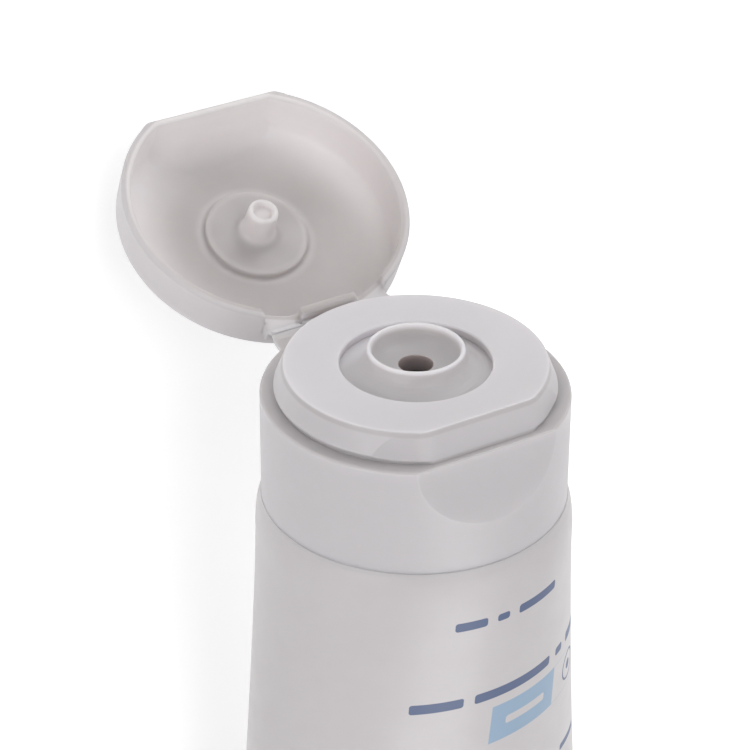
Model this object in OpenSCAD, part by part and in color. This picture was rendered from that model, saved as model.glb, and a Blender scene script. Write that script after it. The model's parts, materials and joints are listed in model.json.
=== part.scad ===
// Soft squeeze tube with a flip-top cap, lying on its back with the lid swung open.
// The tube is drawn upright first: its axis is Z, the deck of the cap is at Z = 0,
// the front (thumb scoop) faces -Y and the hinge is at +Y. The last step lays it down,
// so that the far edge of the open lid and the sealed end of the sleeve touch Z = 0.

/* [Sleeve] */
// Outside radius of the round sleeve
sleeve_r = 17.5; // [16:0.1:19]
// Length of the sleeve, shoulder to trimmed end
sleeve_len = 92; // [70:1:130]
// Wall of the sleeve
sleeve_wall = 0.5; // [0.4:0.05:0.8]
// Length of the pressed and sealed end
crimp_len = 6; // [4:0.5:10]
// Thickness of the sealed end
crimp_t = 1.1; // [1:0.05:1.6]
// How late the sleeve starts to widen: 1 is a straight taper
spread_power = 1.18; // [1:0.02:1.5]
// Radial size of the rounded top edge of the sleeve
sleeve_round_r = 0.8; // [0.4:0.1:1.2]
// Height of the rounded top edge of the sleeve
sleeve_round_h = 4; // [1:0.1:5]
// Gap between the sleeve's top edge and the cap's skirt
seat_gap = 0.03; // [0.02:0.01:0.3]
// Share of the sleeve's length that the cream fills
fill_share = 0.75; // [0.4:0.05:0.85]
// Clearance round the cream
cream_gap = 0.1; // [0.05:0.05:0.3]

/* [Tube head] */
// Outside radius of the neck
neck_r = 8; // [7:0.1:9]
// Bore radius of the neck
neck_bore_r = 6.6; // [5.5:0.1:6.8]
// Wall of the shoulder
shoulder_t = 1.2; // [1:0.1:1.6]
// Height of the shoulder cone
shoulder_rise = 3.1; // [2.5:0.1:3.6]
// Height of the welded rim below the cone
weld_h = 1.5; // [1:0.1:3]
// How far the snap bead stands out of the neck
bead_out = 0.35; // [0.2:0.05:0.5]
// Half height of the snap bead
bead_half = 0.6; // [0.4:0.1:1]
// Rounding of the neck's mouth
neck_edge = 0.4; // [0.2:0.1:0.6]
// Clearance between the welded rim and the sleeve's facets
weld_gap = 0.1; // [0.08:0.01:0.2]

/* [Cap base] */
// How far the skirt stands in from the sleeve's outside
cap_step = 0.7; // [0.3:0.1:1.2]
// Height of the skirt below the ledge
skirt_h = 12.9; // [12:0.1:16]
// Wall of the skirt
skirt_wall = 1.2; // [1:0.1:1.4]
// Height of the deck above the ledge
deck_h = 3.45; // [3:0.05:4]
// How far the deck's top edge stands in from the skirt
deck_top_in = 2.45; // [2.3:0.05:2.8]
// How far the snap bead at the foot of the deck's wall stands in from the skirt
deck_foot_in = 1.5; // [1.4:0.05:1.7]
// How far the deck's front flat is cut back at its top, from the skirt
deck_flat_top_in = 4.15; // [3.8:0.05:4.5]
// How far the deck's front flat is cut back at its foot, from the skirt
deck_flat_foot_in = 3.05; // [3:0.05:3.3]
// Radius of the two corners beside the front flat
deck_corner_r = 4; // [2:0.5:5]
// Thickness of the plate under the deck, at the orifice
plate_t = 2.4; // [2:0.1:3]
// Height of the snap bead above the ledge
deck_bead_h = 0.72; // [0.6:0.02:0.9]
// Depth of the groove under the snap bead
bead_groove = 0.3; // [0.1:0.05:0.5]
// Height of the groove under the snap bead
bead_groove_h = 0.3; // [0.2:0.05:0.4]
// Rounding of the edges of the deck and the skirt
cap_edge = 0.3; // [0.2:0.05:0.4]
// Clearance between the cap and the tube head
cap_gap = 0.2; // [0.1:0.05:0.4]
// Wall of the snap collar inside the cap
collar_wall = 1.2; // [1:0.1:1.6]
// Length of the snap collar inside the cap
collar_len = 9.4; // [8:0.1:9.8]
// Half height of the collar's snap bead
collar_bead_half = 0.9; // [0.7:0.1:1]
// Length of the sealing ring inside the neck
seal_len = 2.2; // [1.5:0.1:3]
// Wall of the sealing ring
seal_wall = 0.8; // [0.6:0.1:1]
// Radial size of the sealing ring's lead-in
seal_lead_w = 0.3; // [0.1:0.05:0.4]
// Height of the sealing ring's lead-in
seal_lead_h = 0.6; // [0.3:0.1:1]

/* [Spout] */
// Radius of the moat round the spout
moat_r = 8.25; // [7.5:0.05:9]
// Depth of the moat's outer wall
moat_depth = 0.9; // [0.5:0.05:1.2]
// Width of the flat foot of the moat, beside its outer wall
moat_foot_w = 0.35; // [0.2:0.05:0.6]
// Inner radius of the spout's rim
rim_r = 4.85; // [4.4:0.05:5.2]
// Width of the spout's rim
rim_w = 0.45; // [0.3:0.05:0.6]
// Height of the rim above the deck
rim_h = 1.7; // [1.2:0.05:1.9]
// Radius of the orifice
orifice_r = 1.9; // [1.8:0.05:2.2]
// Depth of the funnel's foot below the deck
funnel_foot = 0.4; // [0.2:0.05:0.6]

/* [Thumb scoop] */
// Depth of the scoop at the ledge, from the skirt
scoop_depth = 2.35; // [1.8:0.05:2.6]
// Radius of the scoop's hollow
scoop_r = 12.3; // [10:0.1:14]

/* [Lid] */
// How far the lid's mouth stands out from the skirt
lid_step = 0; // [0:0.05:0.4]
// Height of the closed lid above the ledge
lid_h = 7.9; // [7.6:0.1:9]
// Wall of the lid
lid_wall = 1.1; // [0.9:0.05:1.2]
// Radial size of the dome's rounding
dome_r = 7.3; // [6.5:0.1:8]
// Height of the dome's rounding
dome_h = 3.6; // [3.2:0.05:4]
// How much the lid's wall leans in up to the rounding
lid_draft = 0.04; // [0:0.02:0.2]
// How far the lid's front flat is cut back, from its mouth
lid_flat_in = 2.2; // [2:0.05:2.3]
// Radius of the hollow between the front wall and the ceiling, inside the lid
lid_front_fillet = 4; // [1:0.5:5]
// Wall of the lid behind its front flat
lid_flat_wall = 0.75; // [0.6:0.05:0.9]
// Radius of the two corners beside the lid's flat front
lid_corner_r = 1.5; // [1:0.1:2]
// Rounding of the lid's rim
lid_edge = 0.2; // [0.1:0.05:0.3]
// Gap between the closed lid and the ledge
lid_gap = 0.1; // [0.05:0.05:0.3]
// Radius of the raised pad round the plug
pad_r = 6; // [5.4:0.1:7]
// How far the pad stands proud of the ceiling
pad_t = 0.7; // [0.4:0.1:1]
// Clearance between the plug's tip and the orifice
plug_gap = 0.15; // [0.14:0.01:0.3]
// Rounding of the plug's tip
plug_edge = 0.35; // [0.2:0.05:0.4]
// How far the closed plug reaches below the deck
plug_reach = 1.5; // [1:0.1:1.8]
// How much the plug widens for each mm of its length
plug_taper = 0.04; // [0.02:0.01:0.05]
// Radius of the hole in the plug's tip
plug_hole_r = 1.3; // [0.5:0.05:1.4]
// Depth of the hole in the plug's tip
plug_hole_h = 0.7; // [0.4:0.1:2]
// How much the hole in the plug's tip narrows to its foot
plug_hole_in = 0.26; // [0:0.02:0.4]
// Radius of the fillet at the plug's root
plug_fillet_r = 1.2; // [0.5:0.1:1.5]

/* [Hinge] */
// Angle of the open lid from closed
open_angle = 155; // [150:1:160]
// How far the fold line stands out from the skirt
hinge_out = 0.4; // [0.34:0.02:0.7]
// Height of the fold line above the ledge
hinge_rise = 0.31; // [0.25:0.01:0.45]
// Thickness of the webs beside the fold line
web_t = 0.5; // [0.4:0.05:0.55]
// Half width of the webs at the fold line
web_fold_w = 8.1; // [7:0.1:9]
// Half width of the webs at the base
web_base_w = 8.65; // [7.5:0.05:9.5]
// Half width of the webs at the lid
web_lid_w = 7.7; // [6.5:0.1:8.1]
// How far the inside face of the lid's hinge pad stands in from the lid's mouth
pad_in_from_lid = 1.8; // [1.7:0.05:1.9]
// How far the outside face of the lid's hinge pad stands in from the lid's mouth
pad_out_from_lid = 0.8; // [0.6:0.05:1]
// Clearance between the closed lid's hinge pad and the deck
pad_gap = 0.3; // [0.2:0.05:0.5]
// Height of the lid's hinge pad
pad_h = 3; // [2:0.1:4]
// Distance of the two slits from the middle of the hinge
slit_x = 3.8; // [2.5:0.1:5]
// Width of the slits between the middle web and the wings
slit_w = 0.6; // [0.3:0.1:1]
// Height of the two recesses in the lid's rim, over the outer webs
recess_h = 1.15; // [0.8:0.05:1.4]
// How far the slits start outside the skirt
slit_out = 0.05; // [0.03:0.01:0.1]
// Radius of the film that joins the webs
film_r = 0.1; // [0.05:0.01:0.15]
// Clearance round the film
film_gap = 0.03; // [0.02:0.01:0.05]

/* [Hidden] */
$fn = 96;

white_cap = [0.93, 0.925, 0.93];
white_sleeve = [0.9, 0.9, 0.895];
white_head = [0.88, 0.88, 0.86];
cream_tone = [0.97, 0.95, 0.9];

sections = 40;
steps = 14;
arc_steps = 10;
corner_tail = 4;
overlap = 1;

cap_r = sleeve_r - cap_step;
deck_top_r = cap_r - deck_top_in;
deck_foot_r = cap_r - deck_foot_in;
deck_flat_top = cap_r - deck_flat_top_in;
deck_flat_foot = cap_r - deck_flat_foot_in;
scoop_flat = cap_r - scoop_depth;
lid_r = cap_r + lid_step;
lid_flat = lid_r - lid_flat_in;
hinge_y = cap_r + hinge_out;
pad_in = lid_r - pad_in_from_lid;
pad_out = lid_r - pad_out_from_lid;

ledge_z = -deck_h;
skirt_foot = ledge_z - skirt_h;
fold_z = ledge_z + hinge_rise;

sleeve_top = skirt_foot - seat_gap;
round_foot = sleeve_top - sleeve_round_h;
sleeve_end = sleeve_top - sleeve_len;
crimp_top = sleeve_end + crimp_len;
press_top = round_foot - weld_h;
flat_len = press_top - crimp_top;
girth = 2 * PI * sleeve_r;
crimp_half = girth / 4 - crimp_t / 4;

weld_r = sleeve_r - sleeve_wall - weld_gap;
cone_top = sleeve_top + shoulder_rise;
plate_z = -plate_t;
neck_top = plate_z - cap_gap;
collar_r = neck_r + cap_gap;
collar_foot = plate_z - collar_len;
bead_z = collar_foot + 2 * bead_half + cap_gap;

lid_mouth = ledge_z + lid_gap;
recess_z = lid_mouth + recess_h;
recess_x = slit_x - slit_w / 2;
recess_w = web_lid_w - recess_x;
recess_y = pad_in - 2 * lid_wall;
lid_top = ledge_z + lid_h;
dome_foot = lid_top - dome_h;
ceiling = lid_top - lid_wall;
pad_z = ceiling - pad_t;
plug_tip = -plug_reach;
plug_tip_r = orifice_r - plug_gap;
plug_root_r = plug_tip_r + plug_taper * (pad_z - plug_tip);

function arc(cx, cy, rx, ry, from, to, n = arc_steps) =
    [for (i = [0:n]) let (a = from + (to - from) * i / n) [cx + rx * cos(a), cy + ry * sin(a)]];

// Girth of an ellipse with half axes a and b
function ellipse_girth(a, b) =
    let (h = pow((a - b) / (a + b), 2)) PI * (a + b) * (1 + 3 * h / (10 + sqrt(4 - 3 * h)));

// Half depth that keeps the girth of the sleeve when it is pressed to half width a
function half_depth(a, low = 0, high = sleeve_r, n = 24) =
    let (mid = (low + high) / 2)
    n == 0 ? mid
    : ellipse_girth(a, mid) > girth ? half_depth(a, low, mid, n - 1)
    : half_depth(a, mid, high, n - 1);

// The sleeve stays round down to the foot of the welded rim, and is pressed flat from there;
// its half depth ends at half the thickness of the seal
function press(z) = min(1, max(0, (press_top - z) / flat_len));
function wide(z) = sleeve_r + (crimp_half - sleeve_r) * pow(press(z), spread_power);
flat_depth = half_depth(crimp_half);
depth_scale = (sleeve_r - crimp_t / 2) / (sleeve_r - flat_depth);
function deep(z) = crimp_t / 2 + (half_depth(wide(z)) - flat_depth) * depth_scale;
// Sections are ellipses that grow squarer just above the seal
function squareness(z) = 2 + 3 * pow(press(z), 12);

function section(z, inset, shrink = 0) =
    let (a = wide(z) - inset - shrink, b = deep(z) - inset - shrink, p = 2 / squareness(z))
    [for (i = [0:sections - 1]) let (t = 360 * i / sections)
        [a * sign(cos(t)) * pow(abs(cos(t)), p), b * sign(sin(t)) * pow(abs(sin(t)), p), z]];

// Closed skin through a list of sections
module skin(rings) {
    n = len(rings);
    points = [for (r = rings) each r];
    sides = [for (k = [0:n - 2], i = [0:sections - 1]) let (j = (i + 1) % sections)
        [k * sections + i, k * sections + j, (k + 1) * sections + j, (k + 1) * sections + i]];
    polyhedron(points, concat(sides,
        [[for (i = [sections - 1:-1:0]) i]], [[for (i = [0:sections - 1]) (n - 1) * sections + i]]),
        convexity = 4);
}

// The pressed tube shape down to a height, inset all round
module pressed_tube(foot, inset) {
    upper = [for (i = [0:5]) section(round_foot + sleeve_round_h * cos(18 * i), inset,
        sleeve_round_r * (1 - sin(18 * i)))];
    lower = [for (i = [0:steps]) section(press_top + (foot - press_top) * i / steps, inset)];
    skin(concat(upper, lower));
}

module tube_sleeve() {
    inner_foot = crimp_top + crimp_len / 2;
    color(white_sleeve)
    difference() {
        union() {
            pressed_tube(crimp_top, 0);
            skin([section(crimp_top, 0), section(sleeve_end, 0)]);
        }
        pressed_tube(inner_foot, sleeve_wall);
        translate([0, 0, sleeve_top - overlap / 4])
            cylinder(r = sleeve_r - sleeve_round_r - sleeve_wall, h = overlap);
    }
}

module cream() {
    fill_foot = sleeve_top - fill_share * sleeve_len;
    fill_top = press_top - cream_gap;
    color(cream_tone)
    skin([for (i = [0:steps]) section(fill_top + (fill_foot - fill_top) * i / steps,
        sleeve_wall + cream_gap)]);
}

module tube_head() {
    skirt_in = cap_r - skirt_wall;
    color(white_head)
    rotate_extrude()
        polygon(concat(
            [[neck_bore_r, cone_top - shoulder_t], [neck_bore_r, neck_top]],
            arc(neck_r - neck_edge, neck_top - neck_edge, neck_edge, neck_edge, 90, 0, 4),
            arc(neck_r, bead_z, bead_out, bead_half, 90, -90, 6),
            [[neck_r, cone_top], [skirt_in - cap_gap, sleeve_top]],
            arc(weld_r - sleeve_round_r, round_foot, sleeve_round_r, sleeve_round_h, 90, 0, 5),
            [[weld_r, press_top], [weld_r - shoulder_t, press_top],
             [weld_r - shoulder_t, sleeve_top - shoulder_t],
             [skirt_in - shoulder_t, sleeve_top - shoulder_t]]));
}

// Outline in plan of a round body with a flat front and two rounded corners; it stays
// open at the sides, where the round body keeps its own shape
function flat_front(r, flat, corner) =
    let (cy = flat - corner, cx = sqrt(pow(r - corner, 2) - cy * cy), a = atan2(cy, cx), away = a - corner_tail)
    let (right = arc(cx, -cy, corner, corner, -90, -a, 6),
        side = [r * cos(a) + r * sin(away), -r * sin(a) + r * cos(away)],
        half = concat(right, [side, [2 * r, overlap]]))
    concat(half, [for (i = [len(half) - 1:-1:0]) [-half[i][0], half[i][1]]]);

// What the flat front of the deck cuts away; its wall leans by the same draft as the deck
module deck_front_cut() {
    draft = atan2(deck_flat_foot - deck_flat_top, deck_h);
    outline = [for (p = flat_front(deck_top_r, deck_flat_top, deck_corner_r)) [p[0], p[1] * cos(draft)]];
    difference() {
        translate([-2 * cap_r, -2 * cap_r, ledge_z])
            cube([4 * cap_r, 2 * cap_r, deck_h + overlap]);
        rotate([-draft, 0, 0])
            translate([0, 0, -3 * deck_h])
                linear_extrude(6 * deck_h) polygon(outline);
    }
}

module scoop(r) {
    translate([0, -scoop_flat - scoop_r, ledge_z])
        rotate([0, 90, 0])
            cylinder(r = r, h = 4 * cap_r, center = true);
}

// Plan of a web, from the fold line inward
module web_plan(width, reach) {
    linear_extrude(8 * web_t, center = true)
        polygon([[-web_fold_w, overlap], [-web_fold_w, 0], [-width, -reach], [width, -reach],
            [web_fold_w, 0], [web_fold_w, overlap]]);
}

// Profile of a web, drawn as [distance inward from the fold line, height above it]
module web_along(profile) {
    rotate([90, 0, -90])
        linear_extrude(4 * web_fold_w, center = true) polygon(profile);
}

// Web of the base: level with the ledge, it rises to the fold line outside the closed lid
module base_web() {
    reach = hinge_y - sqrt(pow(cap_r, 2) - pow(web_base_w, 2)) + web_t;
    rise_from = hinge_y - pad_out - pad_gap;
    top = -hinge_rise - film_gap;
    intersection() {
        web_along([[0, 0], [rise_from, top], [reach, top], [reach, top - web_t], [rise_from, top - web_t],
            [0, -web_t / 2]]);
        web_plan(web_base_w, reach);
    }
}

// Web of the closed lid: it climbs from the fold line to the lid's wall, over the recess
module lid_web() {
    reach = hinge_y - pad_out;
    rise = recess_z - fold_z;
    intersection() {
        web_along([[0, 0], [reach, rise], [reach + web_t / 2, rise], [reach + web_t / 2, rise + web_t],
            [reach, rise + web_t], [0, web_t / 2]]);
        web_plan(web_lid_w, reach + web_t);
    }
}

module at_fold() {
    translate([0, hinge_y, fold_z]) children();
}

// Slits that part the middle web from the outer ones
module slits(from) {
    height = recess_z - fold_z + 2 * web_t;
    for (side = [-1, 1])
        translate([side * slit_x - slit_w / 2, from, fold_z - height])
            cube([slit_w, hinge_y + overlap - from, 2 * height]);
}

// Deck, spout and skirt, solid below
module base_body() {
    edge = cap_edge;
    lip = rim_w / 2;
    flank_r = moat_r - moat_foot_w;
    rotate_extrude()
        polygon(concat(
            [[orifice_r, skirt_foot]],
            arc(orifice_r, rim_h, rim_r - orifice_r, rim_h + funnel_foot, -90, -12),
            arc(rim_r + lip, rim_h - lip, lip, lip, 180, 0, 6),
            arc(flank_r, rim_h - lip, flank_r - rim_r - rim_w, rim_h - lip + moat_depth, 180, 270),
            [[moat_r, -moat_depth], [moat_r, -edge / 2], [moat_r + edge / 2, 0]],
            arc(deck_top_r - edge, -edge, edge, edge, 90, 15, 4),
            arc(deck_foot_r - edge, ledge_z + deck_bead_h, edge, edge, 15, -60, 4),
            [[deck_foot_r - bead_groove, ledge_z + bead_groove_h], [deck_foot_r - bead_groove, ledge_z]],
            arc(cap_r - edge, ledge_z - edge, edge, edge, 90, 0, 4),
            arc(cap_r - edge, skirt_foot + edge, edge, edge, 0, -90, 4)));
}

// Space under the deck and inside the skirt, with even walls behind the scoop and the flat
module base_cavity() {
    skirt_in = cap_r - skirt_wall;
    roof = ledge_z - skirt_wall;
    deck_in = deck_top_r - skirt_wall;
    seal_r = neck_bore_r - cap_gap;
    seal_foot = plate_z - seal_len;
    difference() {
        rotate_extrude()
            polygon([[0, skirt_foot - overlap], [skirt_in, skirt_foot - overlap], [skirt_in, roof],
                [deck_in, roof], [deck_in, plate_z], [0, plate_z]]);
        scoop(scoop_r + skirt_wall);
        translate([-cap_r, -2 * cap_r - deck_flat_top + skirt_wall, roof])
            cube([2 * cap_r, 2 * cap_r, cap_r]);
        rotate_extrude()
            polygon(concat(
                [[collar_r, plate_z + overlap]],
                arc(collar_r, bead_z, bead_out, collar_bead_half, 90, -90, 6),
                [[collar_r, collar_foot], [collar_r + collar_wall, collar_foot],
                 [collar_r + collar_wall, plate_z + overlap]]));
        rotate_extrude()
            polygon([[seal_r - seal_wall, plate_z + overlap], [seal_r - seal_wall, seal_foot],
                [seal_r - seal_lead_w, seal_foot], [seal_r, seal_foot + seal_lead_h],
                [seal_r, plate_z + overlap]]);
    }
}

module cap_base() {
    color(white_cap)
    difference() {
        union() {
            difference() {
                base_body();
                deck_front_cut();
                scoop(scoop_r);
                base_cavity();
                // Flat behind the deck, clear of the lid's hinge pad
                translate([-cap_r, pad_in - pad_gap, ledge_z])
                    cube([2 * cap_r, cap_r, deck_h + overlap]);
            }
            at_fold() base_web();
            at_fold() rotate([0, 90, 0]) cylinder(r = film_r, h = 2 * web_fold_w, center = true);
        }
        slits(sqrt(pow(cap_r, 2) - pow(recess_x, 2)) + slit_out);
    }
}

module lid_shell() {
    mid = lid_r - lid_draft - dome_r;
    edge = lid_edge;
    fillet = plug_fillet_r;
    rotate_extrude()
        polygon(concat(
            [[0, lid_top]],
            arc(mid, dome_foot, dome_r, dome_h, 90, 0, 14),
            arc(lid_r - edge, lid_mouth + edge, edge, edge, 0, -90, 3),
            [[lid_r - lid_wall + edge / 2, lid_mouth], [lid_r - lid_wall, lid_mouth + edge]],
            arc(mid, dome_foot, dome_r - lid_wall, dome_h - lid_wall, 0, 90, 12),
            [[pad_r + edge / 2, ceiling], [pad_r, ceiling - edge / 2], [pad_r, pad_z]],
            arc(plug_root_r + fillet, pad_z - fillet, fillet, fillet, 90, 170, 5),
            arc(plug_tip_r - plug_edge, plug_tip + plug_edge, plug_edge, plug_edge, 0, -90, 3),
            [[plug_hole_r, plug_tip], [plug_hole_r - plug_hole_in, plug_tip + plug_hole_h],
             [0, plug_tip + plug_hole_h]]));
}

// Solid behind the lid's flat front, cut to the dome
module lid_front_wall() {
    mid = lid_r - lid_draft - dome_r;
    front_in = lid_flat_wall - lid_flat;
    intersection() {
        rotate_extrude()
            polygon(concat([[0, lid_mouth]], [[0, lid_top]], arc(mid, dome_foot, dome_r, dome_h, 90, 0, 14),
                [[lid_r, lid_mouth]]));
        union() {
            rotate([90, 0, 90])
                linear_extrude(2 * cap_r, center = true)
                    polygon(concat([[-lid_r - overlap, lid_mouth], [front_in, lid_mouth]],
                        arc(front_in + lid_front_fillet, ceiling - lid_front_fillet, lid_front_fillet,
                            lid_front_fillet, 180, 90, 8),
                        [[front_in + lid_front_fillet, lid_top], [-lid_r - overlap, lid_top]]));
            translate([-web_lid_w, pad_in, lid_mouth])
                cube([2 * web_lid_w, cap_r, pad_h]);
        }
    }
}

module lid_front_cut() {
    difference() {
        translate([-2 * cap_r, -2 * cap_r, lid_mouth - overlap])
            cube([4 * cap_r, 2 * cap_r, lid_h + 2 * overlap]);
        translate([0, 0, lid_mouth - 2 * overlap])
            linear_extrude(lid_h + 4 * overlap) polygon(flat_front(lid_r, lid_flat, lid_corner_r));
    }
}

// The lid where it closes
module closed_lid() {
    difference() {
        union() {
            difference() {
                union() {
                    lid_shell();
                    lid_front_wall();
                }
                lid_front_cut();
                translate([-web_lid_w, pad_out, lid_mouth - overlap])
                    cube([2 * web_lid_w, cap_r, lid_h + overlap]);
            }
            translate([-web_lid_w, pad_in, lid_mouth])
                cube([2 * web_lid_w, pad_out - pad_in, pad_h]);
            at_fold() lid_web();
        }
        at_fold() rotate([0, 90, 0])
            cylinder(r = film_r + film_gap, h = 4 * web_fold_w, center = true);
        slits(pad_out);
        // Recesses on either side of the middle web
        for (side = [-1, 1])
            translate([side * (recess_x + web_lid_w) / 2 - recess_w / 2, recess_y, lid_mouth - overlap])
                cube([recess_w, pad_out - recess_y, recess_h + overlap]);
    }
}

module cap_lid() {
    color(white_cap)
    at_fold()
        rotate([-open_angle, 0, 0])
            translate([0, -hinge_y, -fold_z]) closed_lid();
}

// Lying down: where a point of the closed lid, given as [y, z], is on the open lid
function opened(p) =
    let (y = p[0] - hinge_y, z = p[1] - fold_z, a = -open_angle)
    [hinge_y + y * cos(a) - z * sin(a), fold_z + y * sin(a) + z * cos(a)];

// The lid touches down where its flat front runs out in the dome
touch_at = acos((lid_flat - (lid_r - lid_draft - dome_r)) / dome_r);
touch = opened([-lid_flat, dome_foot + dome_h * sin(touch_at)]);
seal_edge = [crimp_t / 2, sleeve_end];
lean = atan2(touch[0] - seal_edge[0], touch[1] - seal_edge[1]);
rest_z = seal_edge[0] * cos(lean) - seal_edge[1] * sin(lean);
lid_front = opened([-lid_flat, lid_mouth]);
far_y = lid_front[0] * sin(lean) + lid_front[1] * cos(lean);
near_y = -seal_edge[0] * sin(lean) + seal_edge[1] * cos(lean);

module lie_down() {
    translate([0, -(far_y + near_y) / 2, rest_z])
        rotate([lean - 90, 0, 0]) children();
}

lie_down() tube_sleeve();
lie_down() tube_head();
lie_down() cream();
lie_down() cap_base();
lie_down() cap_lid();
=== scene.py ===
"""Soft squeeze tube with a flip-top cap, lying on its back with the lid swung open."""

import json
import math
from itertools import accumulate

import bpy
from mathutils import Matrix, Vector


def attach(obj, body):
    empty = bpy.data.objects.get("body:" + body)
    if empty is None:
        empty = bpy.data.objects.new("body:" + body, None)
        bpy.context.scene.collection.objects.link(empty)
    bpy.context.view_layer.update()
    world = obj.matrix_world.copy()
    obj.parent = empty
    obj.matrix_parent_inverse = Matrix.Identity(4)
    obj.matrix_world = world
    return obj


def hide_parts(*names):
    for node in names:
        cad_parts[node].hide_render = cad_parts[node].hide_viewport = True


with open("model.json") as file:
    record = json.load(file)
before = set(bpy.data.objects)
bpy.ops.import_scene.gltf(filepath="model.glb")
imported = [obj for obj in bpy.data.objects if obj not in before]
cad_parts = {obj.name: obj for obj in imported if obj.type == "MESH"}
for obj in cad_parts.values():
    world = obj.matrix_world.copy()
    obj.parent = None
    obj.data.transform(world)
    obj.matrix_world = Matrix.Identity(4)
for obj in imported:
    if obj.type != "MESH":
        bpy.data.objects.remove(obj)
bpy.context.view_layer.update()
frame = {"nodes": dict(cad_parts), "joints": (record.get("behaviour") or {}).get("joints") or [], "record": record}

MM = 0.001

# Sizes of the tube in millimetres, as in the part's source. Heights count from the deck's top.
SLEEVE_R = 17.5
SLEEVE_LEN = 92.0
SLEEVE_WALL = 0.5
SLEEVE_ROUND_R = 0.8
SLEEVE_ROUND_H = 4.0
SPREAD_POWER = 1.18
WELD_H = 1.5
CRIMP_LEN = 6.0
CRIMP_T = 1.1
SKIRT_H = 12.9
DECK_H = 3.45
SEAT_GAP = 0.03
ORIFICE_FOOT = 0.4
ORIFICE_R = 1.9
RIM_R = 4.85
RIM_H = 1.7
MOAT_R = 8.25
LID_MID = 9.46
LID_DOME_R = 6.75
LID_DOME_H = 3.05
LID_DOME_FOOT = 0.85
LID_MOUTH = -3.35
LID_CEILING = 3.35
PAD_R = 6.0

LEDGE_Z = -DECK_H
SKIRT_FOOT = LEDGE_Z - SKIRT_H
SLEEVE_TOP = SKIRT_FOOT - SEAT_GAP
ROUND_FOOT = SLEEVE_TOP - SLEEVE_ROUND_H
PRESS_TOP = ROUND_FOOT - WELD_H
SLEEVE_END = SLEEVE_TOP - SLEEVE_LEN
CRIMP_TOP = SLEEVE_END + CRIMP_LEN
GIRTH = 2 * math.pi * SLEEVE_R
CRIMP_HALF = GIRTH / 4 - CRIMP_T / 4


# The tube's own frame: X along the hinge, Y towards the hinge side, Z out of the spout
mounts = {mount["name"]: mount for mount in frame["record"]["mounts"]}
spout = mounts["orifice"]
hinge = frame["joints"][0]
OUT = Vector(spout["axis"]).normalized()
ACROSS = Vector((1, 0, 0))
FRONT = ACROSS.cross(OUT)
DECK = Vector(spout["pos_m"]) + ORIFICE_FOOT * MM * OUT
UPRIGHT = Matrix((ACROSS, -FRONT, OUT)).transposed().to_4x4()
LYING = Matrix.Translation(DECK) @ UPRIGHT @ Matrix.Scale(MM, 4)

# The closed lid lies in the tube's frame; this is where that frame is once the lid has swung open
HINGE = Matrix.Translation(hinge["pos_m"])
SWING = Matrix.Rotation(math.radians(-hinge["range_deg"][0]), 4, Vector(hinge["axis"]))
LID_LYING = HINGE @ SWING @ HINGE.inverted() @ LYING


# Camera, fitted to the photograph: angles and millimetres in the tube's own frame
CAMERA_TURN = math.radians(-30.93)
CAMERA_RISE = math.radians(31.535)
CAMERA_ROLL = math.radians(0.331)
CAMERA_SHIFT_X = 4.376
CAMERA_SHIFT_Y = 1.533
CAMERA_DISTANCE = 320.86
CAMERA_LENS = 144.0
CAMERA_SENSOR = 36.0
CAMERA_CLIP = (0.01, 20.0)


def make_camera():
    towards = Vector((
        math.cos(CAMERA_RISE) * math.sin(CAMERA_TURN),
        -math.cos(CAMERA_RISE) * math.cos(CAMERA_TURN),
        math.sin(CAMERA_RISE),
    ))
    level = Vector((0, 0, 1)).cross(towards).normalized()
    upright = towards.cross(level)
    right = math.cos(CAMERA_ROLL) * level + math.sin(CAMERA_ROLL) * upright
    up = towards.cross(right)
    place = CAMERA_DISTANCE * towards - CAMERA_SHIFT_X * right - CAMERA_SHIFT_Y * up
    turn = LYING.to_3x3() @ Matrix((right, up, towards)).transposed()
    data = bpy.data.cameras.new("camera")
    data.lens = CAMERA_LENS
    data.sensor_width = CAMERA_SENSOR
    data.clip_start, data.clip_end = CAMERA_CLIP
    camera = bpy.data.objects.new("camera", data)
    camera.matrix_world = Matrix.Translation(LYING @ place) @ turn.normalized().to_4x4()
    bpy.context.scene.collection.objects.link(camera)
    bpy.context.scene.camera = camera


class Shade:
    """A socket that takes part in arithmetic: each operation adds its Math node."""

    def __init__(self, paint, socket):
        self.paint = paint
        self.socket = socket

    def math(self, operation, *others, clamp=False):
        inputs = dict(enumerate((self, *others)))
        return self.paint.node("ShaderNodeMath", {"operation": operation, "use_clamp": clamp}, inputs)

    def __add__(self, other):
        return self.math("ADD", other)

    __radd__ = __add__

    def __mul__(self, other):
        return self.math("MULTIPLY", other)

    __rmul__ = __mul__

    def __sub__(self, other):
        return self.math("SUBTRACT", other)

    def __rsub__(self, other):
        return (self * -1.0) + other

    def __abs__(self):
        return self.math("ABSOLUTE")

    def larger(self, other):
        return self.math("MAXIMUM", other)

    def clamped(self):
        return self.math("ADD", 0.0, clamp=True)

    def step(self, start, end):
        """0 at the start and 1 at the end, eased; the end may be the lower one."""
        rising = start < end
        low, high = (start, end) if rising else (end, start)
        return self.paint.node(
            "ShaderNodeMapRange", {"interpolation_type": "SMOOTHSTEP"},
            {"Value": self, "From Min": low, "From Max": high,
             "To Min": float(not rising), "To Max": float(rising)})


def length(x, y):
    return (x * x + y * y).math("SQRT")


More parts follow.
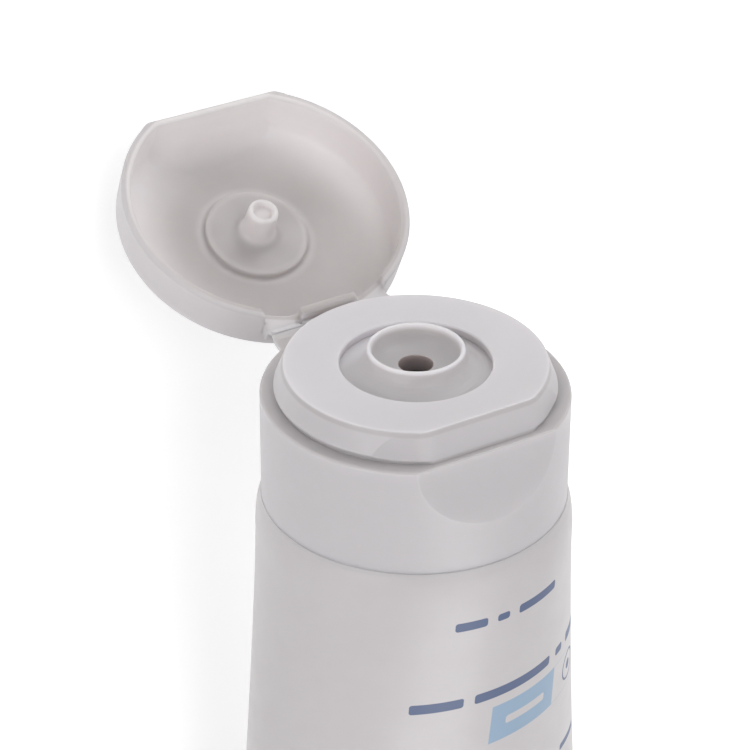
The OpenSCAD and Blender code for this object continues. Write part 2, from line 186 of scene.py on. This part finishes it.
class Paint:
    """The node tree of one material, or of the world."""

    # A Mix node's colours are sockets without names of their own
    MIX_FIRST, MIX_SECOND, MIX_RESULT = 6, 7, 2

    def __init__(self, owner, output="ShaderNodeOutputMaterial"):
        owner.use_nodes = True
        self.owner = owner
        self.tree = owner.node_tree
        self.tree.nodes.clear()
        self.output = self.tree.nodes.new(output)

    def node(self, kind, settings=None, inputs=None, out=0):
        node = self.tree.nodes.new(kind)
        for key, value in (settings or {}).items():
            setattr(node, key, value)
        for key, value in (inputs or {}).items():
            if isinstance(value, Shade):
                self.tree.links.new(value.socket, node.inputs[key])
            else:
                node.inputs[key].default_value = value
        return Shade(self, node.outputs[out])

    def mix(self, factor, first, second, blend="MIX"):
        settings = {"data_type": "RGBA", "blend_type": blend}
        inputs = {0: factor, self.MIX_FIRST: first, self.MIX_SECOND: second}
        return self.node("ShaderNodeMix", settings, inputs, out=self.MIX_RESULT)

    def where(self, scale=1.0):
        """Position on the piece, in its own coordinates."""
        spot = self.node("ShaderNodeTexCoord", out="Object")
        return self.node("ShaderNodeVectorMath", {"operation": "SCALE"}, {0: spot, "Scale": scale})

    def along(self, matrix, direction):
        """Millimetres from a frame's origin along one of its directions."""
        start = {0: self.where(), 1: matrix.translation}
        arm = self.node("ShaderNodeVectorMath", {"operation": "SUBTRACT"}, start)
        way = (matrix.to_3x3() @ Vector(direction)).normalized() / MM
        return self.node("ShaderNodeVectorMath", {"operation": "DOT_PRODUCT"}, {0: arm, 1: way}, out="Value")

    def spot_in(self, matrix):
        """Place in an upright frame: along the hinge, towards it, the height and the radius."""
        x, y, z = (self.along(matrix, way) for way in ((1, 0, 0), (0, 1, 0), (0, 0, 1)))
        return x, y, z, length(x, y)

    def noise(self, size, detail):
        """Noise from 0 to 1 with features of a size in metres."""
        return self.node("ShaderNodeTexNoise", {}, {"Vector": self.where(1.0 / size), "Detail": detail})

    def bump(self, height, strength, distance, over=None):
        inputs = {"Height": height, "Strength": strength, "Distance": distance}
        if over:
            inputs["Normal"] = over
        return self.node("ShaderNodeBump", {}, inputs)

    def plastic(self, base, roughness, gloss, soft, normal):
        """A plastic that light goes into: how much of it, and how far each colour wanders, in metres."""
        weight, radius = soft
        return self.node("ShaderNodeBsdfPrincipled", {}, {
            "Base Color": base,
            "Roughness": roughness,
            "Specular IOR Level": gloss,
            "Subsurface Weight": weight,
            "Subsurface Radius": radius,
            "Subsurface Scale": 1.0,
            "Normal": normal,
        })

    def shown(self):
        """1 for the rays that show the background: the camera's, and those by way of metal or glass."""
        path = self.tree.nodes.new("ShaderNodeLightPath")
        rays = ("Is Camera Ray", "Is Glossy Ray", "Is Transmission Ray")
        camera, glossy, through = (Shade(self, path.outputs[ray]) for ray in rays)
        return camera.larger(glossy).larger(through)

    def finish(self, shader):
        self.tree.links.new(shader.socket, self.output.inputs["Surface"])
        return self.owner


def colour(red, green, blue):
    """A colour as read off a screen, from 0 to 255, in linear light."""
    def linear(c):
        c = c / 255
        return c / 12.92 if c <= 0.04045 else ((c + 0.055) / 1.055) ** 2.4
    return (linear(red), linear(green), linear(blue), 1.0)


WHITE = (1.0, 1.0, 1.0, 1.0)
# Lighter white for painted light on the base, deeper white for painted shade on base and lid
CAP_LIT_WHITE = colour(219, 216, 220)
CAP_SHADED_WHITE = colour(182, 178, 179)
# The lid's lighter white for its painted glow, and a warm tint on the painted shade inside its dome
LID_LIT_WHITE = colour(236, 233, 236)
LID_SHADE_TINT = (1.0, 0.985, 0.965, 1.0)
# Tint that paints the shadow in the spout's bore
BORE_SHADE_TINT = (0.82, 0.67, 0.64, 1.0)
SLEEVE_WHITE = colour(205, 201, 202)
SLEEVE_SHADE = colour(201, 196, 198)
HEAD_WHITE = colour(206, 200, 192)
CREAM_WHITE = colour(236, 230, 220)
NAVY = colour(56, 80, 122)
SKY = colour(148, 172, 196)

# How much light goes into the white plastics, and how far it wanders there
CAP_SOFT = (0.85, (0.0018, 0.0017, 0.0016))
SLEEVE_SOFT = (0.35, (0.0014, 0.0013, 0.0012))

# Roughness at its least, what the clouds add to it, and the strength of the reflections
CAP_ROUGH, CAP_ROUGH_SPREAD = 0.36, 0.1
SLEEVE_ROUGH, SLEEVE_ROUGH_SPREAD, INK_ROUGH = 0.3, 0.12, 0.08
SATIN_GLOSS = 0.45
PLAIN_GLOSS = 0.5

# Relief of the moulded plastic, in metres, and how far its clouds darken it
CLOUD_SIZE = 0.009
WAVE_SIZE = 0.0035
GRAIN_SIZE = 0.00016
GRAIN_DEPTH = 0.00001
GRAIN_STRENGTH = 0.25
WAVE_SHARE = 2.0
CLOUD_TONE = 0.06

# Where each mask of the base's painted light and shade starts and where it is full, in millimetres
DECK_FACE = (-0.25, -0.05)
DECK_FRONT = (2.0, -14.0)
DECK_EDGE_TOP = (-0.02, -0.15)
DECK_EDGE_FOOT = (-0.75, -0.45)
DECK_EDGE_OUT = (MOAT_R + 1.0, MOAT_R + 2.0)
RIM_FACE = (RIM_H - 0.5, RIM_H - 0.2)
RIM_OUT = (RIM_R - 0.15, RIM_R)
FUNNEL_IN = (RIM_R, RIM_R - 0.2)
MOAT_IN = (RIM_R, RIM_R + 0.4)
MOAT_OUT = (MOAT_R - 0.1, MOAT_R + 0.1)
MOAT_HEIGHT = (-1.6, -1.2)
MOAT_BACK = (3.0, 6.0)
LEDGE_TOP = (LEDGE_Z + 0.5, LEDGE_Z + 0.1)
LEDGE_UNDER = (LEDGE_Z - 0.25, LEDGE_Z - 0.05)
# Mask of the bore, where a tint paints its shadow
BORE_IN = (ORIFICE_R + 0.1, ORIFICE_R - 0.1)
SKIRT_EDGE = (SKIRT_FOOT + 0.6, SKIRT_FOOT + 0.35)

# Painted light and shade of the base: 0 is the deeper, shaded white and 1 the lighter, lit one; and what each mask
# changes
BASE_TONE = 0.56
DECK_LIFT = 0.324
DECK_FRONT_DROP = 0.144
RIM_LIFT = 0.36
SKIRT_EDGE_LIFT = 0.4
MOAT_DROP = 0.22
MOAT_BACK_TURN = 2.6
FUNNEL_DROP = 0.5
LEDGE_DROP = 0.45
DECK_EDGE_DROP = 0.375


def base_painted_shading(paint):
    """Painted light on the deck, less towards its front, on the spout's rim and the skirt's foot; painted shade in
    the moat, the funnel, on the ledge and along the deck's edge.
    """
    x, y, height, radius = paint.spot_in(LYING)
    outer = radius.step(*MOAT_OUT)
    deck = height.step(*DECK_FACE) * outer
    deck_edge = height.step(*DECK_EDGE_TOP) * height.step(*DECK_EDGE_FOOT) * radius.step(*DECK_EDGE_OUT)
    rim = height.step(*RIM_FACE) * radius.step(*RIM_OUT)
    funnel = radius.step(*FUNNEL_IN)
    moat = radius.step(*MOAT_IN) * (1.0 - outer) * (1.0 - rim) * height.step(*MOAT_HEIGHT)
    ledge = height.step(*LEDGE_TOP) * height.step(*LEDGE_UNDER)
    # The moat lies in the shade at its front, and in the light at its back
    shaded = moat * (1.0 - y.step(*MOAT_BACK) * MOAT_BACK_TURN)
    # Painted light: the deck lighter, less so towards its front, and the spout's rim and the skirt's foot lighter
    lit = (deck * (DECK_LIFT - y.step(*DECK_FRONT) * DECK_FRONT_DROP)).larger(rim * RIM_LIFT)
    lit += height.step(*SKIRT_EDGE) * SKIRT_EDGE_LIFT
    # Painted shade on the ledge and along the deck's edge
    dark = (ledge * LEDGE_DROP).larger(deck_edge * DECK_EDGE_DROP)
    # Painted shade in the moat and the funnel
    tone = BASE_TONE + lit - shaded * MOAT_DROP - funnel * FUNNEL_DROP - dark
    # The second mask is the bore's, for its painted shadow
    return tone.clamped(), radius.step(*BORE_IN)


# Masks of the lid's painted light and shade: its dome as shares of the ellipse that it follows, the others in
# millimetres
DOME_IN = (1.05, 0.95)
GLOW_OUT = (7.5, 15.0)
GLOW_ACROSS, GLOW_BACK = -0.1, -0.9
GLOW_RUN = (-20.0, 12.0)
PLUG_IN = (2.8, 2.2)
PLUG_FACE = (2.6, 1.8)
PAD_RING_R = PAD_R + 0.25
PAD_RING = (1.2, 0.2)
PAD_FACE = (LID_CEILING - 1.2, LID_CEILING - 0.8)
LID_EDGE = (LID_MOUTH + 0.5, LID_MOUTH + 0.15)

# Painted light and shade of the lid, and what each mask changes
LID_TONE = 0.54
DOME_DROP = 0.45
GLOW_LIFT = 0.93
PLUG_LIFT = 0.65
PAD_LIFT = 0.25
LID_EDGE_DROP = 0.25


def lid_painted_shading(paint):
    """Painted shade on the dome's ceiling, greyer than the walls, which carry a painted glow for the light that
    comes through them.
    """
    x, y, height, radius = paint.spot_in(LID_LYING)
    out = (radius - LID_MID).larger(0.0) * (1 / LID_DOME_R)
    up = (height - LID_DOME_FOOT).larger(0.0) * (1 / LID_DOME_H)
    inside = (out * out + up * up).step(*DOME_IN)
    # Painted glow on the dome's walls, strongest on the side away from the hinge
    glow = radius.step(*GLOW_OUT) * (x * GLOW_ACROSS + y * GLOW_BACK).step(*GLOW_RUN)
    # Painted light on the plug and on the pad's ring
    plug = radius.step(*PLUG_IN) * height.step(*PLUG_FACE)
    pad = abs(radius - PAD_RING_R).step(*PAD_RING) * height.step(*PAD_FACE)
    lift = glow * GLOW_LIFT + plug * PLUG_LIFT + pad * PAD_LIFT
    # Painted shade inside the dome, lessened by the painted light, and painted shade at the mouth's edge
    tone = LID_TONE - inside * (DOME_DROP - lift) - height.step(*LID_EDGE) * LID_EDGE_DROP
    return tone.clamped(), inside


def moulded_white(name, painted_shading_of, light, tint, corner):
    """Polypropylene straight from the mould: satin, with a fine spark-eroded grain and soft corners, its colour
    carrying painted light and shade.
    """
    paint = Paint(bpy.data.materials.new(name))
    cloud = paint.noise(CLOUD_SIZE, detail=3.0)
    relief = paint.noise(GRAIN_SIZE, detail=2.0) + paint.noise(WAVE_SIZE, detail=1.0) * WAVE_SHARE
    tone, shade_mask = painted_shading_of(paint)
    # The tone mixes the shaded white with the lit one, painted shade and light; the tint over the second mask is
    # painted shade
    white = paint.mix((tone - cloud * CLOUD_TONE).clamped(), CAP_SHADED_WHITE, light)
    rounded = paint.node("ShaderNodeBevel", {"samples": 6}, {"Radius": corner})
    return paint.finish(paint.plastic(
        base=paint.mix(shade_mask, white, tint, "MULTIPLY"),
        roughness=CAP_ROUGH + cloud * CAP_ROUGH_SPREAD,
        gloss=SATIN_GLOSS,
        soft=CAP_SOFT,
        normal=paint.bump(relief, GRAIN_STRENGTH, GRAIN_DEPTH, rounded),
    ))


def soft_white(name, tint, roughness, clump, relief):
    """A plain soft white: the head's natural polyethylene, or the cream."""
    paint = Paint(bpy.data.materials.new(name))
    cloud = paint.noise(clump, detail=3.0)
    darker = tuple(c * 0.93 for c in tint[:3]) + (1.0,)
    return paint.finish(paint.plastic(
        base=paint.mix(cloud, tint, darker),
        roughness=roughness + cloud * 0.12,
        gloss=PLAIN_GLOSS,
        soft=SLEEVE_SOFT,
        normal=paint.bump(cloud, 0.4, relief),
    ))


# Print on the front, in millimetres: left and right along the surface from the front's middle, then
# top and foot below the sleeve's upper edge
INK_BARS = (
    (-5.0, -1.3, 6.1, 7.2),
    (0.0, 1.5, 6.2, 7.1),
    (2.9, 9.2, 6.1, 7.2),
    (-9.4, -3.3, 17.0, 18.3),
    (-1.9, 9.4, 17.0, 18.3),
    (10.9, 12.5, 17.1, 18.2),
    (14.0, 19.4, 17.0, 18.3),
    (14.6, 19.6, 34.3, 35.2),
)
SKY_PANEL = (0.6, 10.9, 19.8, 25.4)
PANEL_BAR = (2.7, 8.9, 22.1, 23.2)
CELL = (10.9, 20.4, 19.8, 25.4)
CELL_LINE = 0.1
ICON_PLACE = (15.6, 22.6)
ICON_R = 1.9
ICON_LINE = 0.3
ICON_DOT = ICON_R * 0.7
BAR_ROUND = 0.3
INK_EDGE = 0.06

# How much of the film the ink covers
INK_COVER = 0.92
CELL_COVER = 0.6

# Clouds and ripples of the film, in metres
FILM_CLOUD_SIZE = 0.014
RIPPLE_SIZE = 0.006
RIPPLE_DEPTH = 0.00003
RIPPLE_STRENGTH = 0.3


def inked(distance):
    """1 where a distance to an edge is negative, with a soft edge."""
    return (distance * (-1.0 / INK_EDGE) + 0.5).clamped()


class Sheet:
    """The sleeve's printed sheet: masks in millimetres across and down its surface."""

    def __init__(self, paint):
        place = paint.node("ShaderNodeUVMap", {"uv_map": "print"})
        self.across = paint.node("ShaderNodeSeparateXYZ", {}, {0: place}, out="X")
        self.down = paint.node("ShaderNodeSeparateXYZ", {}, {0: place}, out="Y")

    def field(self, left, right, top, foot, rounding=0.0):
        x = abs(self.across - (left + right) / 2) - ((right - left) / 2 - rounding)
        y = abs(self.down - (top + foot) / 2) - ((foot - top) / 2 - rounding)
        return inked(length(x.larger(0.0), y.larger(0.0)) - (rounding + INK_EDGE / 2))

    def frame(self, left, right, top, foot, line):
        inner = self.field(left + line, right - line, top + line, foot - line)
        return (self.field(left, right, top, foot) - inner).clamped()

    def ring(self, centre, radius, line):
        x, y = self.across - centre[0], self.down - centre[1]
        return inked(abs(length(x, y) - radius) - line / 2)


def sleeve_white(name):
    """Polyethylene film with a soft gloss, printed on its front."""
    paint = Paint(bpy.data.materials.new(name))
    sheet = Sheet(paint)
    cloud = paint.noise(FILM_CLOUD_SIZE, detail=2.0)
    ripple = paint.noise(RIPPLE_SIZE, detail=2.0)
    ink = sheet.ring(ICON_PLACE, ICON_R, ICON_LINE).larger(sheet.ring(ICON_PLACE, 0.0, ICON_DOT))
    for bar in INK_BARS:
        ink = ink.larger(sheet.field(*bar, rounding=BAR_ROUND))
    panel = (sheet.field(*SKY_PANEL) - sheet.field(*PANEL_BAR, rounding=BAR_ROUND)).clamped()
    film = paint.mix(cloud, SLEEVE_WHITE, SLEEVE_SHADE)
    film = paint.mix(panel, film, SKY)
    film = paint.mix(sheet.frame(*CELL, line=CELL_LINE) * CELL_COVER, film, SKY)
    return paint.finish(paint.plastic(
        base=paint.mix(ink * INK_COVER, film, NAVY),
        roughness=SLEEVE_ROUGH + cloud * SLEEVE_ROUGH_SPREAD + ink.larger(panel) * INK_ROUGH,
        gloss=SATIN_GLOSS,
        soft=SLEEVE_SOFT,
        normal=paint.bump(ripple, RIPPLE_STRENGTH, RIPPLE_DEPTH),
    ))


def ellipse_girth(a, b):
    """Girth of an ellipse by Ramanujan's formula."""
    h = ((a - b) / (a + b)) ** 2
    return math.pi * (a + b) * (1 + 3 * h / (10 + math.sqrt(4 - 3 * h)))


HALVINGS = 30


def half_depth(wide):
    """Half depth that keeps the girth of the sleeve when it is pressed to a half width."""
    low, high = 0.0, SLEEVE_R
    for _ in range(HALVINGS):
        middle = (low + high) / 2
        if ellipse_girth(wide, middle) > GIRTH:
            high = middle
        else:
            low = middle
    return low


FLAT_DEPTH = half_depth(CRIMP_HALF)

# A section is an ellipse until it nears the seal, where it grows square
SEAL_SQUARENESS = 3
SQUARE_POWER = 12

SEAL_RIDGES = 8
SEAL_RIDGE_H = 0.05

# A fine lip that hugs the foot of the skirt: how far in from the sleeve, and above its edge
LIP = ((0.78, -0.05), (0.74, 0.0), (0.735, 0.28), (0.715, 0.335), (0.67, 0.345), (0.62, 0.3), (0.575, 0.1))

# Points round a ring, and rings on each stretch; the lip stands for the first rings of the rounding
AROUND = 256
INNER_STEPS = 60
INNER_ROUND_STEPS = 8
ROUND_STEPS = 12
LIP_STEPS = 3
WALL_STEPS = 160
SEAL_STEPS = 96


def sleeve_section(z):
    """Half width, half depth and squareness of the sleeve at a height."""
    press = min(1.0, max(0.0, (PRESS_TOP - z) / (PRESS_TOP - CRIMP_TOP)))
    wide = SLEEVE_R + (CRIMP_HALF - SLEEVE_R) * press ** SPREAD_POWER
    thinning = (SLEEVE_R - CRIMP_T / 2) / (SLEEVE_R - FLAT_DEPTH)
    deep = CRIMP_T / 2 + (half_depth(wide) - FLAT_DEPTH) * thinning
    return wide, deep, 2 + SEAL_SQUARENESS * press ** SQUARE_POWER


def sleeve_ring(z, inset=0.0):
    wide, deep, square = sleeve_section(z)
    ring = []
    for i in range(AROUND):
        # From the back's middle, so that the print's map is cut there
        turn = 2 * math.pi * i / AROUND + math.pi / 2
        c, s = math.cos(turn), math.sin(turn)
        x = (wide - inset) * math.copysign(abs(c) ** (2 / square), c)
        y = (deep - inset) * math.copysign(abs(s) ** (2 / square), s)
        ring.append((x, y, z))
    return ring


def rounding_ring(share, inset=0.0):
    """A ring on the rounding below the sleeve's edge, at a share of the way up."""
    turn = math.pi / 2 * share
    z = ROUND_FOOT + SLEEVE_ROUND_H * math.sin(turn) - inset
    return sleeve_ring(z, inset + SLEEVE_ROUND_R * (1 - math.cos(turn)))


def sleeve_rings():
    """Up the inside, over the lip, down the outside and along the pressed seal."""
    inner_foot = CRIMP_TOP + CRIMP_LEN / 2
    rings = []
    for i in range(INNER_STEPS):
        rings.append(sleeve_ring(inner_foot + (PRESS_TOP - inner_foot) * i / INNER_STEPS, SLEEVE_WALL))
    for i in range(INNER_ROUND_STEPS + 1):
        rings.append(rounding_ring(i / INNER_ROUND_STEPS, SLEEVE_WALL))
    for inset, rise in LIP:
        rings.append(sleeve_ring(SLEEVE_TOP + rise, inset))
    for i in range(LIP_STEPS, ROUND_STEPS + 1):
        rings.append(rounding_ring(1 - i / ROUND_STEPS))
    for i in range(1, WALL_STEPS + 1):
        rings.append(sleeve_ring(ROUND_FOOT + (CRIMP_TOP - ROUND_FOOT) * i / WALL_STEPS))
    for i in range(1, SEAL_STEPS + 1):
        ridge = SEAL_RIDGE_H / 2 * (1 - math.cos(2 * math.pi * SEAL_RIDGES * i / SEAL_STEPS))
        rings.append(sleeve_ring(CRIMP_TOP + (SLEEVE_END - CRIMP_TOP) * i / SEAL_STEPS, ridge))
    return rings


def link_mesh(name, points, faces, matrix):
    mesh = bpy.data.meshes.new(name)
    mesh.from_pydata([matrix @ Vector(p) for p in points], [], faces)
    mesh.polygons.foreach_set("use_smooth", [True] * len(mesh.polygons))
    mesh.update()
    piece = bpy.data.objects.new(name, mesh)
    bpy.context.scene.collection.objects.link(piece)
    return piece


def skin(name, rings, matrix):
    """A skin through rings of equal length, closed by a face at both ends."""
    around = len(rings[0])
    points = [p for ring in rings for p in ring]
    faces = []
    for a in range(0, len(points) - around, around):
        b = a + around
        for i in range(around):
            j = (i + 1) % around
            faces.append((a + i, b + i, b + j, a + j))
    faces.append(tuple(range(around)))
    faces.append(tuple(reversed(range(len(points) - around, len(points)))))
    return link_mesh(name, points, faces, matrix)


def lay_print(mesh, rings):
    """The print's map: millimetres along the surface from the front's middle, and below the upper edge."""
    around = len(rings[0])
    across = []
    for ring in rings:
        steps = [math.dist(ring[i], ring[(i + 1) % around]) for i in range(around)]
        run = list(accumulate(steps, initial=0.0))
        across.append([u - run[around // 2] for u in run])
    layer = mesh.uv_layers.new(name="print")
    for face in mesh.polygons[:(len(rings) - 1) * around]:
        k, i = divmod(face.index, around)
        corners = ((k, i), (k + 1, i), (k + 1, i + 1), (k, i + 1))
        for loop, (ring, column) in zip(face.loop_indices, corners):
            down = SLEEVE_TOP - rings[ring][column % around][2]
            layer.data[loop].uv = (across[ring][column], down)


def make_sleeve():
    rings = sleeve_rings()
    piece = skin("printed_sleeve", rings, LYING)
    lay_print(piece.data, rings)
    piece.data.materials.append(sleeve_white("sleeve_film"))
    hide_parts("tube_sleeve")
    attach(piece, "tube")


# Corners that the mould leaves soft, in metres
BASE_CORNER = 0.0001
LID_CORNER = 0.0009


def dress_nodes():
    """Materials of the pieces that keep their CAD meshes."""
    dress = {
        "cap_base": moulded_white("cap_plastic", base_painted_shading, CAP_LIT_WHITE, BORE_SHADE_TINT, BASE_CORNER),
        "cap_lid": moulded_white("lid_plastic", lid_painted_shading, LID_LIT_WHITE, LID_SHADE_TINT, LID_CORNER),
        "tube_head": soft_white("head_plastic", HEAD_WHITE, roughness=0.4, clump=0.006, relief=0.00002),
        "cream": soft_white("cream_white", CREAM_WHITE, roughness=0.3, clump=0.004, relief=0.0002),
    }
    for name, material in dress.items():
        node = frame["nodes"][name]
        node.data.materials.clear()
        node.data.materials.append(material)
        node.data.polygons.foreach_set("use_smooth", [True] * len(node.data.polygons))


FLOOR_HALF = 1.5
FLOOR_COLOUR = (0.88, 0.88, 0.88, 1.0)
FLOOR_GLOW = 0.45


def make_floor():
    """A white floor that keeps the tube's shadow; where it shows it glows up to white."""
    corners = [(x * FLOOR_HALF, y * FLOOR_HALF, 0) for x, y in ((-1, -1), (1, -1), (1, 1), (-1, 1))]
    floor = link_mesh("floor", corners, [(0, 1, 2, 3)], Matrix.Identity(4))
    paint = Paint(bpy.data.materials.new("floor_white"))
    lit = paint.node("ShaderNodeBsdfDiffuse", {}, {"Color": FLOOR_COLOUR})
    glow = paint.node("ShaderNodeEmission", {}, {"Color": WHITE, "Strength": FLOOR_GLOW})
    bright = paint.node("ShaderNodeAddShader", {}, {0: lit, 1: glow})
    shader = paint.node("ShaderNodeMixShader", {}, {0: paint.shown(), 1: lit, 2: bright})
    floor.data.materials.append(paint.finish(shader))


LAMP_AWAY = 0.8
LAMP_SIZE = 0.5
# Directions from the cap, and watts
LAMPS = {
    "end_lamp": ((-0.3, 1.0, 0.06), 1.88),
    "end_right_lamp": ((0.7, 1.0, 0.2), 2.27),
    "top_lamp": ((0.0, 0.0, 1.0), 1.86),
    "foot_lamp": ((0.0, -1.0, 1.0), 1.50),
    "low_foot_lamp": ((0.0, -1.0, 0.25), 1.71),
    "left_lamp": ((-1.0, 0.1, 0.6), 2.73),
    "right_lamp": ((1.0, 0.1, 0.6), 1.41),
}
AMBIENT = 0.05
BACKDROP = 1.0


def make_lamp(name, direction, power):
    """A soft square lamp in a direction from the cap, facing it."""
    data = bpy.data.lights.new(name, "AREA")
    data.size = LAMP_SIZE
    data.energy = power
    lamp = bpy.data.objects.new(name, data)
    way = Vector(direction).normalized()
    facing = way.to_track_quat("Z", "Y").to_matrix().to_4x4()
    lamp.matrix_world = Matrix.Translation(DECK + way * LAMP_AWAY) @ facing
    bpy.context.scene.collection.objects.link(lamp)


def make_light():
    paint = Paint(bpy.data.worlds.new("studio"), "ShaderNodeOutputWorld")
    backdrop = paint.node("ShaderNodeBackground", {}, {"Color": WHITE, "Strength": BACKDROP})
    ambient = paint.node("ShaderNodeBackground", {}, {"Color": WHITE, "Strength": AMBIENT})
    shader = paint.node("ShaderNodeMixShader", {}, {0: paint.shown(), 1: ambient, 2: backdrop})
    bpy.context.scene.world = paint.finish(shader)
    for name, (direction, power) in LAMPS.items():
        make_lamp(name, direction, power)


make_camera()
make_sleeve()
dress_nodes()
make_floor()
make_light()

bpy.context.scene.view_settings.view_transform = "Standard"
